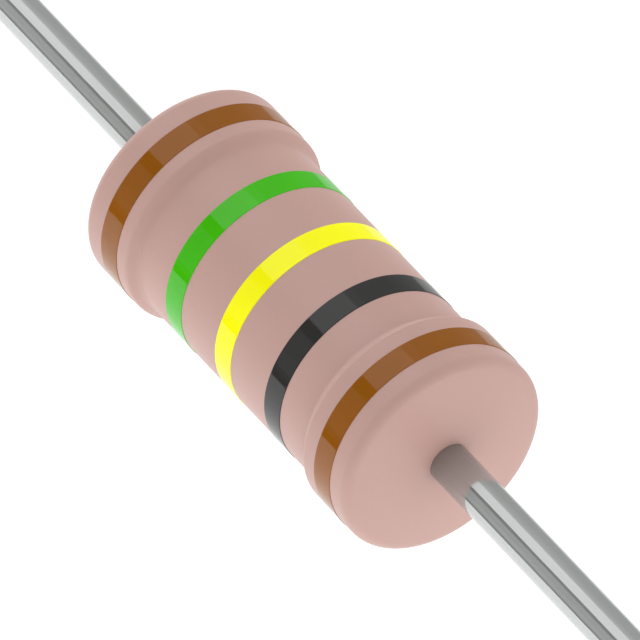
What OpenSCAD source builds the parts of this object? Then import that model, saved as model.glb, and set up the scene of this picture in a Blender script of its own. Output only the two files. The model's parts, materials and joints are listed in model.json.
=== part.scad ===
// Axial film resistor with a dog-bone body and a five-band colour code.
// A ceramic rod carries a helically trimmed film. A pressed cap is pushed over each end of
// the rod, a wire lead is welded to each cap, and one coating is moulded over all of it.
// The axis lies along X and the origin is the middle of the body. All sizes are in mm.

/* [Coated body] */
// Diameter of the body over its end caps
body_d = 4.3; // [3.9:0.05:5]
// Length of the coated body over its rims, without its leads
body_l = 8.6; // [7.8:0.1:12]
// Coating over the skirts of the end caps
skirt_coat_t = 0.25; // [0.16:0.01:0.35]
// Coating over the closed faces of the end caps, at the rim
face_coat_t = 0.22; // [0.15:0.01:0.35]
// Coating over the film at the waist
waist_coat_t = 0.28; // [0.2:0.01:0.36]
// Rounding of the outer edge at each end of the body
edge_r = 0.15; // [0.05:0.01:0.25]
// Radius of the shallow dome of each end face
dome_r = 11.3; // [8:0.1:16]
// Radius of the hollow foot and of the crest of each shoulder
shoulder_r = 0.3; // [0.1:0.01:0.45]
// Steepest slope of each shoulder, in degrees from the axis
shoulder_slope = 36; // [25:1:60]

/* [Colour code] */
// Width of each colour band
band_w = 0.515; // [0.35:0.005:0.7]
// Thickness of the printed colour
band_t = 0.02; // [0.02:0.005:0.05]
// Distance of the second digit and the multiplier from the middle band
digit_pitch = 1.63; // [1.2:0.01:1.9]
// Distance from each end of the body to the middle of the band nearest to it
end_band_inset = 0.775; // [0.6:0.005:0.9]
// How far the whole code was printed off centre, towards the right end
code_shift = 0.03; // [-0.1:0.01:0.1]

/* [Wire leads] */
// Diameter of the wire
lead_d = 0.8; // [0.6:0.01:1]
// Free length of each lead, beyond the body
lead_l = 28; // [10:1:38]
// Chamfer of the sheared wire end
lead_chamfer = 0.06; // [0:0.01:0.15]
// Diameter of the weld at the root of each lead
weld_d = 1.2; // [1.05:0.05:1.8]
// Height of the weld on the cap
weld_h = 0.26; // [0.1:0.01:0.32]

/* [End caps] */
// Sheet thickness of the pressed caps
cap_wall = 0.2; // [0.12:0.01:0.28]
// Height of each cap, from its mouth to its closed face
cap_h = 1.3; // [1.1:0.05:1.5]
// Outer pressing radius between a cap's skirt and its closed face
cap_corner_r = 0.28; // [0.1:0.01:0.4]

/* [Rod and film] */
// Chamfer at each end of the ceramic rod
core_chamfer = 0.15; // [0.1:0.01:0.3]
// Thickness of the resistive film, drawn thick enough to see
film_t = 0.05; // [0.03:0.01:0.1]
// Advance of the helical trimming cut in one turn
trim_pitch = 0.75; // [0.5:0.05:1.2]
// Width of the trimming cut
trim_w = 0.12; // [0.06:0.01:0.2]
// Least width of film left whole between a cap and the trimming cut
trim_margin = 0.4; // [0.2:0.05:0.8]

/* [Hidden] */
$fn = 96;

// Radii, from the outside of the caps inwards
body_r = body_d / 2;
cap_r = body_r - skirt_coat_t;
film_r = cap_r - cap_wall;
core_r = film_r - film_t;
waist_r = film_r + waist_coat_t;
lead_r = lead_d / 2;

// Least radius inside the corner of a cap that is pressed from thick sheet
min_inner_r = 0.02;

// Places along the axis, on the right half
body_end = body_l / 2;
cap_face = body_end - face_coat_t;
core_end = cap_face - cap_wall;
cap_mouth = cap_face - cap_h;

// The dome of an end face runs on from the rim's rounding, and the lead leaves it a little further out
dome_tilt = asin((body_r - edge_r) / (dome_r - edge_r));
dome_centre = body_end - edge_r - (dome_r - edge_r) * cos(dome_tilt);
lead_root = dome_centre + sqrt(dome_r * dome_r - lead_r * lead_r);
lead_end = lead_root + lead_l;

// A shoulder is a hollow arc, a straight cone and a crest arc, centred on the mouth of the cap
shoulder_rise = body_r - waist_r;
shoulder_arc_r = min(shoulder_r, shoulder_rise / (2 * (1 - cos(shoulder_slope))));
shoulder_cone_rise = shoulder_rise - 2 * shoulder_arc_r * (1 - cos(shoulder_slope));
shoulder_l = 2 * shoulder_arc_r * sin(shoulder_slope) + shoulder_cone_rise / tan(shoulder_slope);
shoulder_foot = cap_mouth - shoulder_l / 2;
shoulder_crest = cap_mouth + shoulder_l / 2;

// The trimming cut has as many whole turns as fit between the caps
trim_turns = floor((2 * cap_mouth - 2 * trim_margin) / trim_pitch);
trim_start = -trim_turns * trim_pitch / 2;

// Sections of the cut in one turn, and how far the cutter stands out of the film on each side
trim_steps = 16;
trim_reach = 0.15;

// Colours, as the finished part shows them
PINK = [0.84, 0.68, 0.65];
BROWN = [0.52, 0.28, 0.09];
GREEN = [0.22, 0.68, 0.10];
YELLOW = [0.98, 0.95, 0.08];
BLACK = [0.16, 0.16, 0.17];
TIN = [0.80, 0.81, 0.80];
NICKEL = [0.72, 0.71, 0.68];
FILM = [0.36, 0.33, 0.30];
ALUMINA = [0.93, 0.92, 0.88];

// Points along an arc, from one angle to another
function arc(centre, r, from, to, steps = 8) =
    [for (i = [0 : steps]) let (a = from + (to - from) * i / steps) centre + r * [cos(a), sin(a)]];

// Outline points of the left half, mirrored from the right half in reverse order
function left_of(points) =
    [for (i = [len(points) - 1 : -1 : 0]) [-points[i][0], points[i][1]]];

// A solid turned round the X axis. Each point of the outline is [place along X, radius].
module turned(outline) {
    rotate([0, 90, 0]) rotate_extrude() polygon([for (p = outline) [p[1], p[0]]]);
}

// What is modelled at the right end, put at the right end or mirrored to the left
module at_end(side) {
    if (side == "right") children();
    if (side == "left") mirror([1, 0, 0]) children();
}

module rod_blank() {
    turned([[-core_end, 0], [-core_end, core_r - core_chamfer], [-core_end + core_chamfer, core_r],
            [core_end - core_chamfer, core_r], [core_end, core_r - core_chamfer], [core_end, 0]]);
}

// Corners of the trimming cut's section where it has gone a given number of turns
function trim_section(turns) =
    let (x = trim_start + turns * trim_pitch, across = [0, sin(360 * turns), cos(360 * turns)])
    [for (corner = [[-trim_w / 2, core_r - trim_reach], [trim_w / 2, core_r - trim_reach],
                    [trim_w / 2, film_r + trim_reach], [-trim_w / 2, film_r + trim_reach]])
        [x + corner[0], 0, 0] + corner[1] * across];

// The trimming cut: a ribbon wound round the rod, standing out of the film on both sides
module trim_cut() {
    last = trim_turns * trim_steps;
    corners = [for (i = [0 : last]) each trim_section(i / trim_steps)];
    walls = [for (i = [0 : last - 1], k = [0 : 3]) let (a = 4 * i + k, b = 4 * i + (k + 1) % 4)
        each [[a, b, b + 4], [a, b + 4, a + 4]]];
    polyhedron(corners, concat([[3, 2, 1, 0], [for (k = [0 : 3]) 4 * last + k]], walls));
}

module film_sleeve() {
    film_end = core_end - core_chamfer;
    difference() {
        turned([[-film_end, core_r], [-film_end, film_r], [film_end, film_r], [film_end, core_r]]);
        trim_cut();
    }
}

// The outside of a cap, with no hollow
module cap_blank(side) {
    at_end(side) turned(concat(
        [[cap_mouth, 0], [cap_mouth, cap_r]],
        arc([cap_face - cap_corner_r, cap_r - cap_corner_r], cap_corner_r, 90, 0),
        [[cap_face, 0]]));
}

module end_cap(side) {
    inner_r = max(cap_corner_r - cap_wall, min_inner_r);
    hollow = concat(
        [[cap_mouth, 0], [cap_mouth, film_r]],
        arc([core_end - inner_r, film_r - inner_r], inner_r, 90, 0),
        [[core_end, 0]]);
    difference() {
        cap_blank(side);
        at_end(side) turned(hollow);
    }
}

module lead(side) {
    at_end(side) turned([[cap_face, 0], [cap_face, weld_d / 2], [cap_face + weld_h, lead_r],
        [lead_end - lead_chamfer, lead_r], [lead_end, lead_r - lead_chamfer], [lead_end, 0]]);
}

// A printed ring on a surface of radius seat_r
module band(middle, seat_r) {
    left = middle + code_shift - band_w / 2;
    right = middle + code_shift + band_w / 2;
    turned([[left, seat_r], [left, seat_r + band_t], [right, seat_r + band_t], [right, seat_r]]);
}

module ceramic_core() {
    color(ALUMINA) rod_blank();
}

module resistive_film() {
    color(FILM) film_sleeve();
}

module end_cap_left() {
    color(NICKEL) end_cap("left");
}

module end_cap_right() {
    color(NICKEL) end_cap("right");
}

module lead_left() {
    color(TIN) lead("left");
}

module lead_right() {
    color(TIN) lead("right");
}

// The coating fills the trimming cut and grips the caps, the welds and the roots of the leads
module coating() {
    right_half = concat(
        arc([shoulder_foot, waist_r + shoulder_arc_r], shoulder_arc_r, -90, shoulder_slope - 90),
        arc([shoulder_crest, body_r - shoulder_arc_r], shoulder_arc_r, 90 + shoulder_slope, 90),
        arc([body_end - edge_r, body_r - edge_r], edge_r, 90, dome_tilt),
        arc([dome_centre, 0], dome_r, dome_tilt, 0));
    color(PINK) difference() {
        turned(concat(left_of(right_half), right_half));
        rod_blank();
        film_sleeve();
        for (side = ["left", "right"]) {
            cap_blank(side);
            lead(side);
        }
    }
}

module band_first_digit() {
    color(BROWN) band(end_band_inset - body_end, body_r);
}

module band_second_digit() {
    color(GREEN) band(-digit_pitch, waist_r);
}

module band_third_digit() {
    color(YELLOW) band(0, waist_r);
}

module band_multiplier() {
    color(BLACK) band(digit_pitch, waist_r);
}

module band_tolerance() {
    color(BROWN) band(body_end - end_band_inset, body_r);
}

coating();
band_first_digit();
band_second_digit();
band_third_digit();
band_multiplier();
band_tolerance();
lead_left();
lead_right();
end_cap_left();
end_cap_right();
resistive_film();
ceramic_core();
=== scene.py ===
"""Looks of the axial resistor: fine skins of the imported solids, their materials and a small light tent.

Everything is in metres in the model's own frame, with the wires along X. The part hangs in the
middle of the tent, high over a pale floor, because the photograph shows it with no shadow.
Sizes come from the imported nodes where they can. The rest stand below: part.scad's own, and the
skins' finer ones. The view, the colours and the panels' levels were fitted to the photograph.
"""
import json
import math

import bmesh
import bpy
from mathutils import Matrix, Vector


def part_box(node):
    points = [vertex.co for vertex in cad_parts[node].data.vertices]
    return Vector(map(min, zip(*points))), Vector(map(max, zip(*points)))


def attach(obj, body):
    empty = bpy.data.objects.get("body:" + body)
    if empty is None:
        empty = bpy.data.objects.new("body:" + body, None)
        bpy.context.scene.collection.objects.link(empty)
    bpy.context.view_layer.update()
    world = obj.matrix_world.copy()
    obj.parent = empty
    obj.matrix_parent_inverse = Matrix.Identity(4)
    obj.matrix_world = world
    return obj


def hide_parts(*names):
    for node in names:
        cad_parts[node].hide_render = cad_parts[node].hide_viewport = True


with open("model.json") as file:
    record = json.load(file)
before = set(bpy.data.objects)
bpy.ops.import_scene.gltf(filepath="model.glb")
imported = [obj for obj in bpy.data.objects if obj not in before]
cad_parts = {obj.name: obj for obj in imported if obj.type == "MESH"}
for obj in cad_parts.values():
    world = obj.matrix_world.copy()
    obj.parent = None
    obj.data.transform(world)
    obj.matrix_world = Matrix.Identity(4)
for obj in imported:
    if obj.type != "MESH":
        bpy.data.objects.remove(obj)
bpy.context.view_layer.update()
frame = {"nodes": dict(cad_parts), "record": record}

MM = 0.001
STEPS = 192  # corners round each turned skin
SHARP = math.radians(25)  # an edge that bends more than this isn't shaded smooth

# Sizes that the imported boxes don't tell, as part.scad names them
WELD_H = 0.26 * MM
LEAD_CHAMFER = 0.06 * MM
CAP_CORNER_R = 0.28 * MM
TRIM_PITCH = 0.75 * MM
TRIM_W = 0.12 * MM
TRIM_TURNS = 6

# Finer than in the solids, and at most 0.07 mm from them: the coating's end faces, rims and
# shoulders, and the ink
EDGE_R = 0.22 * MM
DOME_R = 14.5 * MM
SHOULDER_SLOPE = math.radians(48)
CREST_R = 0.12 * MM
FOOT_R = 0.15 * MM
CREST_PAST_MOUTH = 0.2 * MM  # from the mouth of a cap to the crest of the shoulder over it
INK_T = 0.01 * MM
INK_EDGE_R = 0.009 * MM

# A stretch of an outline longer than this is straight, and its shading turns only this near its ends
STRAIGHT = 0.3 * MM
EASE = 0.02 * MM

# The photograph's view: the way to the camera, and the frame's scale and aim at the object's centre
CAMERA_AZIMUTH = math.radians(56.46)
CAMERA_ELEVATION = math.radians(44.21)
CAMERA_DISTANCE = 0.52
FRAME_PIXELS = 640
PIXELS_PER_METRE = 54800
OBJECT_PIXEL = (312.0, 317.9)
SENSOR_WIDTH = 36.0


def outer_radius(node):
    return max(math.hypot(v.co.y, v.co.z) for v in frame["nodes"][node].data.vertices)


def ends(node):
    lo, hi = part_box(node)
    return lo.x, hi.x


# Radii from the outside inwards, and places along the axis on the right half
body_r = outer_radius("coating")
band_t = outer_radius("band_tolerance") - body_r
waist_r = outer_radius("band_third_digit") - band_t
cap_r = outer_radius("end_cap_right")
film_r = outer_radius("resistive_film")
core_r = outer_radius("ceramic_core")
weld_r = outer_radius("lead_right")
lead_r = frame["record"]["mounts"][0]["dims"]["r_mm"] * MM
lead_root = ends("coating")[1]
cap_mouth, cap_face = ends("end_cap_right")
lead_end = ends("lead_right")[1]

# The dome of each end face meets the rim's rounding at one angle and the lead at another
dome_tilt = math.asin((body_r - EDGE_R) / (DOME_R - EDGE_R))
root_tilt = math.asin(lead_r / DOME_R)
dome_centre = lead_root - DOME_R * math.cos(root_tilt)
body_end = dome_centre + (DOME_R - EDGE_R) * math.cos(dome_tilt) + EDGE_R


# Meshes

class Skin:
    """A mesh under construction. Its corners are named by place along X, radius and step round X."""

    def __init__(self):
        self.mesh = bmesh.new()
        self.corners = {}

    def corner(self, x, r, step):
        key = (round(x / MM, 5), round(r / MM, 5), step % STEPS if r > 0 else 0)
        if key not in self.corners:
            angle = math.tau * key[2] / STEPS
            self.corners[key] = self.mesh.verts.new((x, r * math.cos(angle), r * math.sin(angle)))
        return self.corners[key]

    def face(self, *places):
        corners = list(dict.fromkeys(self.corner(*p) for p in places))
        if len(corners) > 2:
            self.mesh.faces.new(corners)

    def turn(self, outline):
        """Adds the surface that an outline of (place along X, radius) makes when turned round X."""
        points = eased(outline)
        for (x0, r0), (x1, r1) in zip(points, points[1:]):
            for i in range(STEPS):
                self.face((x0, r0, i), (x1, r1, i), (x1, r1, i + 1), (x0, r0, i + 1))

    def finish(self, name, node, material):
        """Makes the object, which stands for a CAD node and takes its place on the body."""
        bmesh.ops.recalc_face_normals(self.mesh, faces=self.mesh.faces)
        data = bpy.data.meshes.new(name)
        self.mesh.to_mesh(data)
        self.mesh.free()
        data.shade_smooth()
        data.set_sharp_from_angle(angle=SHARP)
        data.materials.append(material)
        piece = bpy.data.objects.new(name, data)
        bpy.context.scene.collection.objects.link(piece)
        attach(piece, "root")
        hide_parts(node)
        return piece


def eased(outline):
    """The same outline with a point close to each end of a straight stretch, to keep its shading flat."""
    points = outline[:1]
    for (x0, r0), (x1, r1) in zip(outline, outline[1:]):
        length = math.hypot(x1 - x0, r1 - r0)
        if length > STRAIGHT:
            shares = (EASE / length, 1 - EASE / length)
            points += [(x0 + (x1 - x0) * share, r0 + (r1 - r0) * share) for share in shares]
        points.append((x1, r1))
    return points


def arc(x, r, radius, start, end, steps=10):
    """Points along an arc round (x, r), from one angle to another, in radians."""
    angles = [start + (end - start) * i / steps for i in range(steps + 1)]
    return [(x + radius * math.cos(a), r + radius * math.sin(a)) for a in angles]


def both_halves(right):
    """An outline of the right half with its mirror image before it."""
    return [(-x, r) for x, r in reversed(right)] + right


def coating_outside():
    """From the left lead's hole, over the body, to the right lead's hole."""
    quarter = math.pi / 2
    arcs_r = CREST_R + FOOT_R
    cone_rise = body_r - waist_r - arcs_r * (1 - math.cos(SHOULDER_SLOPE))
    length = arcs_r * math.sin(SHOULDER_SLOPE) + cone_rise / math.tan(SHOULDER_SLOPE)
    crest = cap_mouth + CREST_PAST_MOUTH
    foot = crest - length
    return both_halves(
        arc(foot, waist_r + FOOT_R, FOOT_R, -quarter, SHOULDER_SLOPE - quarter)
        + arc(crest, body_r - CREST_R, CREST_R, quarter + SHOULDER_SLOPE, quarter)
        + arc(body_end - EDGE_R, body_r - EDGE_R, EDGE_R, quarter, dome_tilt)
        + arc(dome_centre, 0, DOME_R, dome_tilt, root_tilt)[1:])


def coating_inside():
    """The hollow of the right half, from the film at the cap's mouth to the lead's hole."""
    return ([(cap_mouth, film_r), (cap_mouth, cap_r)]
            + arc(cap_face - CAP_CORNER_R, cap_r - CAP_CORNER_R, CAP_CORNER_R, math.pi / 2, 0)
            + [(cap_face, weld_r), (cap_face + WELD_H, lead_r), (lead_root, lead_r)])


def coating_over_film(skin):
    """The inside of the waist, with the ridge that fills the film's trimming cut."""
    start = -TRIM_TURNS * TRIM_PITCH / 2

    def edge(turn, side, step):
        return start + (turn + step / STEPS) * TRIM_PITCH + side * TRIM_W / 2

    for step in range(STEPS):
        after = step + 1
        for turn in range(TRIM_TURNS):
            near = [edge(turn, side, step) for side in (-1, 1)]
            far = [edge(turn, side, after) for side in (-1, 1)]
            skin.face((near[0], core_r, step), (near[1], core_r, step),
                      (far[1], core_r, after), (far[0], core_r, after))
            for k in (0, 1):
                skin.face((near[k], film_r, step), (near[k], core_r, step),
                          (far[k], core_r, after), (far[k], film_r, after))
            if turn:
                skin.face((edge(turn - 1, 1, step), film_r, step), (near[0], film_r, step),
                          (far[0], film_r, after), (edge(turn - 1, 1, after), film_r, after))
        # Beside the first and the last turn, where the ridge's ends lie at the first step
        first, last = edge(0, -1, step), edge(TRIM_TURNS - 1, 1, step)
        first_after, last_after = edge(0, -1, after), edge(TRIM_TURNS - 1, 1, after)
        ridge_start = [(edge(0, side, 0), film_r, 0) for side in (1, -1)] if after == STEPS else []
        ridge_end = [(edge(TRIM_TURNS, side, 0), film_r, 0) for side in (1, -1)] if step == 0 else []
        skin.face((-cap_mouth, film_r, step), (first, film_r, step),
                  (first_after, film_r, after), *ridge_start, (-cap_mouth, film_r, after))
        skin.face((last, film_r, step), *reversed(ridge_end), (cap_mouth, film_r, step),
                  (cap_mouth, film_r, after), (last_after, film_r, after))
    for turn in (0, TRIM_TURNS):
        sides = [edge(turn, side, 0) for side in (-1, 1)]
        skin.face((sides[0], core_r, 0), (sides[1], core_r, 0), (sides[1], film_r, 0), (sides[0], film_r, 0))


def make_coating():
    skin = Skin()
    skin.turn(coating_outside())
    inside = coating_inside()
    skin.turn(inside)
    skin.turn([(-x, r) for x, r in inside])
    coating_over_film(skin)
    return skin.finish("coating_skin", "coating", coating_material())


def make_band(node, material):
    """A printed ring: a closed skin with softly rounded outer edges."""
    left, right = ends(node)
    seat = outer_radius(node) - band_t
    top = seat + INK_T
    skin = Skin()
    skin.turn([(left, seat)]
              + arc(left + INK_EDGE_R, top - INK_EDGE_R, INK_EDGE_R, math.pi, math.pi / 2, 4)
              + arc(right - INK_EDGE_R, top - INK_EDGE_R, INK_EDGE_R, math.pi / 2, 0, 4)
              + [(right, seat), (left, seat)])
    return skin.finish(node + "_ink", node, material)


def make_lead(side, material):
    """A straight wire, from the weld on its cap to its sheared end. side is 1 right, -1 left."""
    node = "lead_right" if side > 0 else "lead_left"
    outline = [(cap_face, 0), (cap_face, weld_r), (cap_face + WELD_H, lead_r),
               (lead_end - LEAD_CHAMFER, lead_r), (lead_end, lead_r - LEAD_CHAMFER), (lead_end, 0)]
    skin = Skin()
    skin.turn([(side * x, r) for x, r in outline])
    return skin.finish(node + "_wire", node, material)


# Materials

class Shader:
    """A material's nodes, made one after the other. Places are in millimetres in the row's frame."""

    def __init__(self, name):
        self.material = bpy.data.materials.new(name)
        self.material.use_nodes = True
        self.tree = self.material.node_tree
        self.surface = self.tree.nodes["Principled BSDF"]
        place = self.tree.nodes.new("ShaderNodeTexCoord")
        scale = self.node("ShaderNodeVectorMath", operation="SCALE")
        scale.inputs["Scale"].default_value = 1 / MM
        self.link(place.outputs["Object"], scale.inputs[0])
        self.place = scale.outputs["Vector"]

    def node(self, kind, **settings):
        made = self.tree.nodes.new(kind)
        for name, value in settings.items():
            setattr(made, name, value)
        return made

    def link(self, source, target):
        self.tree.links.new(source, target)

    def set(self, **values):
        """Constants on the surface's own sockets, such as ior=1.5."""
        names = {"metallic": "Metallic", "ior": "IOR", "roughness": "Roughness"}
        for name, value in values.items():
            self.surface.inputs[names[name]].default_value = value

    def noise(self, size, stretch=(1, 1, 1), detail=3.0):
        """Noise with features of about that size in mm, longer along an axis with a larger stretch."""
        mapping = self.node("ShaderNodeMapping")
        mapping.inputs["Scale"].default_value = [1 / (size * s) for s in stretch]
        self.link(self.place, mapping.inputs["Vector"])
        noise = self.node("ShaderNodeTexNoise")
        noise.inputs["Scale"].default_value = 1.0
        noise.inputs["Detail"].default_value = detail
        self.link(mapping.outputs["Vector"], noise.inputs["Vector"])
        return noise.outputs["Fac"]

    def ranged(self, value, low, high, spread=0.25):
        """A noise's middle part, stretched to run from low to high."""
        span = self.node("ShaderNodeMapRange")
        span.inputs["From Min"].default_value = 0.5 - spread
        span.inputs["From Max"].default_value = 0.5 + spread
        span.inputs["To Min"].default_value = low
        span.inputs["To Max"].default_value = high
        self.link(value, span.inputs["Value"])
        return span.outputs["Result"]

    def mix(self, factor, first, second):
        """A colour between two, each a linear (r, g, b) or another node's output."""
        mix = self.node("ShaderNodeMix", data_type="RGBA")
        self.link(factor, mix.inputs["Factor"])
        for socket, colour in ((mix.inputs["A"], first), (mix.inputs["B"], second)):
            if isinstance(colour, tuple):
                socket.default_value = (*colour, 1)
            else:
                self.link(colour, socket)
        return mix.outputs["Result"]

    def colour(self, value):
        self.link(value, self.surface.inputs["Base Color"])

    def roughness(self, value):
        self.link(value, self.surface.inputs["Roughness"])

    def bump(self, height, depth):
        """Relief of about that depth in mm."""
        bump = self.node("ShaderNodeBump")
        bump.inputs["Distance"].default_value = depth * MM
        bump.inputs["Strength"].default_value = 1.0
        self.link(height, bump.inputs["Height"])
        self.link(bump.outputs["Normal"], self.surface.inputs["Normal"])

    def beyond(self, limit, soft):
        """0 up to limit - soft from the middle along X, in mm, and 1 from limit + soft on."""
        parts = self.node("ShaderNodeSeparateXYZ")
        self.link(self.place, parts.inputs["Vector"])
        distance = self.node("ShaderNodeMath", operation="ABSOLUTE")
        self.link(parts.outputs["X"], distance.inputs[0])
        span = self.node("ShaderNodeMapRange")
        span.inputs["From Min"].default_value = limit - soft
        span.inputs["From Max"].default_value = limit + soft
        self.link(distance.outputs["Value"], span.inputs["Value"])
        return span.outputs["Result"]


def shade(colour, factor):
    """A colour made lighter or darker by a factor."""
    return tuple(min(1.0, c * factor) for c in colour)


def coating_material():
    """Satin flameproof paint: a fine grain, slight clouding and a soft sheen."""
    pink = (0.503, 0.313, 0.275)
    paint = Shader("flameproof_coating")
    paint.set(ior=1.42)
    clouds = paint.ranged(paint.noise(1.4), 0, 1)
    specks = paint.ranged(paint.noise(0.09, detail=2), 0, 1)
    base = paint.mix(clouds, shade(pink, 0.985), shade(pink, 1.015))
    paint.colour(paint.mix(specks, base, shade(pink, 1.02)))
    paint.roughness(paint.ranged(paint.noise(0.5), 0.36, 0.42))
    paint.bump(paint.noise(0.07, detail=4), 0.0012)
    return paint.material


def ink_material(name, colour):
    """Glossy printed ink, a little uneven in its depth of colour and its shine."""
    ink = Shader(name)
    ink.set(ior=1.45)
    depth = ink.ranged(ink.noise(0.6, stretch=(1.6, 1, 1)), 0, 1)
    ink.colour(ink.mix(depth, shade(colour, 0.97), shade(colour, 1.03)))
    ink.roughness(ink.ranged(ink.noise(0.3), 0.05, 0.09))
    ink.bump(ink.noise(0.25, detail=2), 0.0006)
    return ink.material


def wire_material():
    """Tin on drawn wire: faint die lines, heat tint at the weld, painted shade near the coating, a bare
    copper cut.
    """
    tin, worn_tin = (0.59, 0.612, 0.60), (0.55, 0.572, 0.56)
    copper, weld_tint_and_root_shade = (0.78, 0.36, 0.20), (0.22, 0.205, 0.20)
    wire = Shader("tinned_wire")
    wire.set(metallic=0.65, ior=1.5)
    lines = wire.noise(0.05, stretch=(60, 1, 1), detail=3)
    base = wire.mix(wire.ranged(lines, 0, 1), worn_tin, tin)
    cut = wire.beyond(lead_end / MM - 0.004, 0.002)
    # Darker towards the middle: heat tint over the weld, and painted shade on the wire up to 1.3 mm out of
    # the coating
    root = wire.beyond(lead_root / MM + 0.45, 0.85)
    wire.colour(wire.mix(root, weld_tint_and_root_shade, wire.mix(cut, base, copper)))
    wire.roughness(wire.ranged(wire.noise(0.9, stretch=(3, 1, 1)), 0.03, 0.06))
    wire.bump(lines, 0.0005)
    return wire.material


def cap_material():
    """Nickel-plated steel, drawn in a press: rings of fine scratches round it."""
    cap = Shader("plated_steel")
    cap.set(metallic=1.0)
    rings = cap.noise(0.03, stretch=(1, 20, 20), detail=3)
    cap.colour(cap.mix(cap.ranged(rings, 0, 1), (0.44, 0.43, 0.40), (0.52, 0.51, 0.47)))
    cap.roughness(cap.ranged(cap.noise(0.4), 0.24, 0.38))
    cap.bump(rings, 0.001)
    return cap.material


def film_material():
    """Sputtered metal film: dark, thin and slightly cloudy over the rod's grain."""
    film = Shader("metal_film")
    film.set(metallic=1.0)
    clouds = film.ranged(film.noise(0.8), 0, 1)
    film.colour(film.mix(clouds, (0.095, 0.085, 0.075), (0.15, 0.13, 0.11)))
    film.roughness(film.ranged(film.noise(0.12), 0.35, 0.5))
    film.bump(film.noise(0.06, detail=4), 0.001)
    return film.material


def rod_material():
    """Sintered alumina: off-white, matt and finely grained."""
    rod = Shader("alumina")
    rod.set(ior=1.6)
    grain = rod.noise(0.05, detail=4)
    rod.colour(rod.mix(rod.ranged(grain, 0, 1), (0.80, 0.78, 0.72), (0.88, 0.87, 0.83)))
    rod.roughness(rod.ranged(rod.noise(0.3), 0.6, 0.75))
    rod.bump(grain, 0.003)
    return rod.material


def dress_node(node, material):
    """A CAD node whose shape is right gets a better material on its own slot."""
    frame["nodes"][node].material_slots[0].material = material


# Stage, light and camera

def seen_directly(tree):
    """1 for camera, glossy and transmission rays: what a white background may be lit for."""
    rays = tree.nodes.new("ShaderNodeLightPath")
    total = rays.outputs["Is Camera Ray"]
    for name in ("Is Glossy Ray", "Is Transmission Ray"):
        either = tree.nodes.new("ShaderNodeMath")
        either.operation = "MAXIMUM"
        tree.links.new(total, either.inputs[0])
        tree.links.new(rays.outputs[name], either.inputs[1])
        total = either.outputs["Value"]
    return total


def make_world():
    """White where it is seen or mirrored. It lights no matt surface, because the tent does."""
    world = bpy.data.worlds.new("studio")
    world.use_nodes = True
    bpy.context.scene.world = world
    background = world.node_tree.nodes["Background"]
    background.inputs["Color"].default_value = (1, 1, 1, 1)
    world.node_tree.links.new(seen_directly(world.node_tree), background.inputs["Strength"])


def stage_object(name, corners, faces, material):
    data = bpy.data.meshes.new(name)
    data.from_pydata(corners, [], faces)
    data.materials.append(material)
    made = bpy.data.objects.new(name, data)
    bpy.context.scene.collection.objects.link(made)
    return made


def make_floor():
    """Pale floor of the tent. Where it is seen it glows up to white, over a body that takes a shadow."""
    material = bpy.data.materials.new("floor")
    material.use_nodes = True
    tree = material.node_tree
    tree.nodes.remove(tree.nodes["Principled BSDF"])
    choice = tree.nodes.new("ShaderNodeMixShader")
    for socket, (grey, glow) in ((choice.inputs[1], FLOOR_BOUNCE), (choice.inputs[2], FLOOR_SEEN)):
        matt, light = tree.nodes.new("ShaderNodeBsdfDiffuse"), tree.nodes.new("ShaderNodeEmission")
        both = tree.nodes.new("ShaderNodeAddShader")
        matt.inputs["Color"].default_value = (grey, grey, grey, 1)
        light.inputs["Strength"].default_value = glow
        tree.links.new(matt.outputs["BSDF"], both.inputs[0])
        tree.links.new(light.outputs["Emission"], both.inputs[1])
        tree.links.new(both.outputs["Shader"], socket)
    tree.links.new(seen_directly(tree), choice.inputs["Fac"])
    tree.links.new(choice.outputs["Shader"], tree.nodes["Material Output"].inputs["Surface"])
    signs = ((-1, -1), (1, -1), (1, 1), (-1, 1))
    corners = [(x * FLOOR_HALF, y * FLOOR_HALF, floor_z) for x, y in signs]
    stage_object("floor", corners, [(0, 1, 2, 3)], material)


def glow_material(name, level):
    material = bpy.data.materials.new(name)
    material.use_nodes = True
    tree = material.node_tree
    tree.nodes.remove(tree.nodes["Principled BSDF"])
    light = tree.nodes.new("ShaderNodeEmission")
    light.inputs["Strength"].default_value = level
    tree.links.new(light.outputs["Emission"], tree.nodes["Material Output"].inputs["Surface"])
    return material


TENT_R = 0.25
TENT_LEFT, TENT_RIGHT = -0.35, 0.35
TENT_PARTS = (TENT_LEFT, -0.1, 0.1, TENT_RIGHT)  # the walls' left, middle and right part along X
TENT_FOOT = 16  # degrees that the walls reach below the level of the part
TENT_STEP = 4  # degrees between the points round the tent
floor_z = -TENT_R * math.sin(math.radians(TENT_FOOT))

# The floor's half width, and its grey and its glow where it only bounces light and where it is seen
FLOOR_HALF = 1.5
FLOOR_BOUNCE = (0.85, 0.74)
FLOOR_SEEN = (0.35, 0.75)

# Two sets of panels share the tent, because the photograph's glossy bands mirror a darker room than
# the one that lights its coating. No real room does that. The levels are fitted, not measured.
# Angles are in degrees round X, from +Y over +Z.
# Panels that light matt surfaces: first and last angle, brightness of the left, middle and right part
MATT_WALLS = (
    (-16, 45, (1.63, 1.32, 1.10)),
    (45, 100, (1.31, 0.96, 0.62)),
    (100, 145, (1.02, 0.60, 0.10)),
    (145, 196, (1.52, 1.13, 0.76)),
)
# Ends of the same set: place along X, first and last angle, brightness
MATT_ENDS = (
    (TENT_LEFT, -16, 196, 1.20),
    (TENT_RIGHT, -16, 45, 1.32),
    (TENT_RIGHT, 45, 135, 1.95),
    (TENT_RIGHT, 135, 196, 1.60),
)
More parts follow.
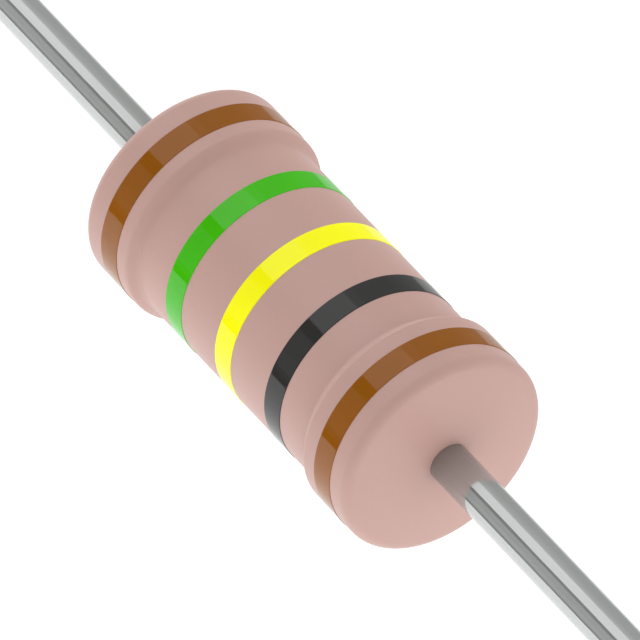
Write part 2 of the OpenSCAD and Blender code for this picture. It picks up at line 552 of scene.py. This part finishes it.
# Panels that are mirrored. The camera sees those of the left part in the bands and the wires.
MIRRORED_LEFT = (
    (-16, 8, 0.29),
    (8, 34, 0.29),
    (34, 48, 0.33),
    (48, 66, 0.41),
    (66, 76.5, 0.56),
    (76.5, 122.5, 1.08),
    (122.5, 137, 0.06),
    (137, 157, 0.34),
    (157, 165, 0.31),
    (165, 182, 0.37),
    (182, 189, 0.15),
    (189, 196, 0.02),
)
MIRRORED_REST = 0.34
MIRRORED_ENDS = ((TENT_LEFT, 1.50), (TENT_RIGHT, 0.40))
# A dim strip on the floor behind the part: how far back it starts and ends, and its brightness
APRON = (0.069, 0.24, 0.70)
APRON_LIFT = 0.002  # how far it lies above the floor


def tent_panel(kind, corners, faces, level):
    """A panel that the camera looks through, and that only matt or only mirrored rays meet."""
    panel = stage_object("tent_" + kind, corners, faces, glow_material("glow_" + kind, level))
    panel.visible_camera = False
    panel.visible_shadow = False
    panel.visible_diffuse = kind == "matt"
    panel.visible_glossy = kind == "mirrored"


def tent_rim(x, start, end):
    """Points on the tent's round at a place along X, from one angle to another."""
    steps = max(2, round((end - start) / TENT_STEP))
    angles = [math.radians(start + (end - start) * i / steps) for i in range(steps + 1)]
    return [(x, TENT_R * math.cos(a), TENT_R * math.sin(a)) for a in angles]


def tent_wall(kind, near, far, start, end, level):
    rim = tent_rim(near, start, end)
    n = len(rim)
    faces = [(i, i + 1, i + n + 1, i + n) for i in range(n - 1)]
    tent_panel(kind, rim + tent_rim(far, start, end), faces, level)


def tent_end(kind, x, start, end, level):
    corners = [(x, 0, 0)] + tent_rim(x, start, end)
    tent_panel(kind, corners, [tuple(range(len(corners)))], level)


def make_tent():
    """A round tunnel of plain light panels over the resistor, closed at both ends."""
    for start, end, levels in MATT_WALLS:
        for near, far, level in zip(TENT_PARTS, TENT_PARTS[1:], levels):
            tent_wall("matt", near, far, start, end, level)
    for x, start, end, level in MATT_ENDS:
        tent_end("matt", x, start, end, level)
    for start, end, level in MIRRORED_LEFT:
        tent_wall("mirrored", TENT_LEFT, TENT_PARTS[1], start, end, level)
    tent_wall("mirrored", TENT_PARTS[1], TENT_RIGHT, -TENT_FOOT, 180 + TENT_FOOT, MIRRORED_REST)
    for x, level in MIRRORED_ENDS:
        tent_end("mirrored", x, -TENT_FOOT, 180 + TENT_FOOT, level)
    near, far, level = APRON
    z = floor_z + APRON_LIFT
    corners = [(TENT_LEFT, near, z), (TENT_RIGHT, near, z), (TENT_RIGHT, far, z), (TENT_LEFT, far, z)]
    tent_panel("mirrored", corners, [(0, 1, 2, 3)], level)


def make_camera():
    """The photograph's view, aimed so that the object's centre falls on its pixel."""
    a, e = CAMERA_AZIMUTH, CAMERA_ELEVATION
    back = Vector((math.sin(a) * math.cos(e), -math.cos(a) * math.cos(e), math.sin(e)))
    right = Vector((math.cos(a), math.sin(a), 0))
    up = back.cross(right)
    middle = (FRAME_PIXELS - 1) / 2
    aim = (right * (middle - OBJECT_PIXEL[0]) - up * (middle - OBJECT_PIXEL[1])) / PIXELS_PER_METRE
    data = bpy.data.cameras.new("camera")
    data.sensor_width = SENSOR_WIDTH
    data.lens = SENSOR_WIDTH * CAMERA_DISTANCE * PIXELS_PER_METRE / FRAME_PIXELS
    data.clip_start, data.clip_end = 0.01, 10.0
    camera = bpy.data.objects.new("camera", data)
    turn = Matrix((right, up, back)).transposed().to_4x4()
    camera.matrix_world = Matrix.Translation(aim + back * CAMERA_DISTANCE) @ turn
    bpy.context.scene.collection.objects.link(camera)
    bpy.context.scene.camera = camera


make_coating()
brown = ink_material("brown_ink", (0.266, 0.085, 0.003))
make_band("band_first_digit", brown)
make_band("band_second_digit", ink_material("green_ink", (0.051, 0.474, 0.002)))
make_band("band_third_digit", ink_material("yellow_ink", (0.99, 0.96, 0.003)))
make_band("band_multiplier", ink_material("black_ink", (0.030, 0.029, 0.028)))
make_band("band_tolerance", brown)
tin = wire_material()
make_lead(-1, tin)
make_lead(1, tin)
steel = cap_material()
dress_node("end_cap_left", steel)
dress_node("end_cap_right", steel)
dress_node("resistive_film", film_material())
dress_node("ceramic_core", rod_material())

make_world()
make_floor()
make_tent()
make_camera()
bpy.context.scene.view_settings.view_transform = "Standard"

bpy.context.view_layer.update()
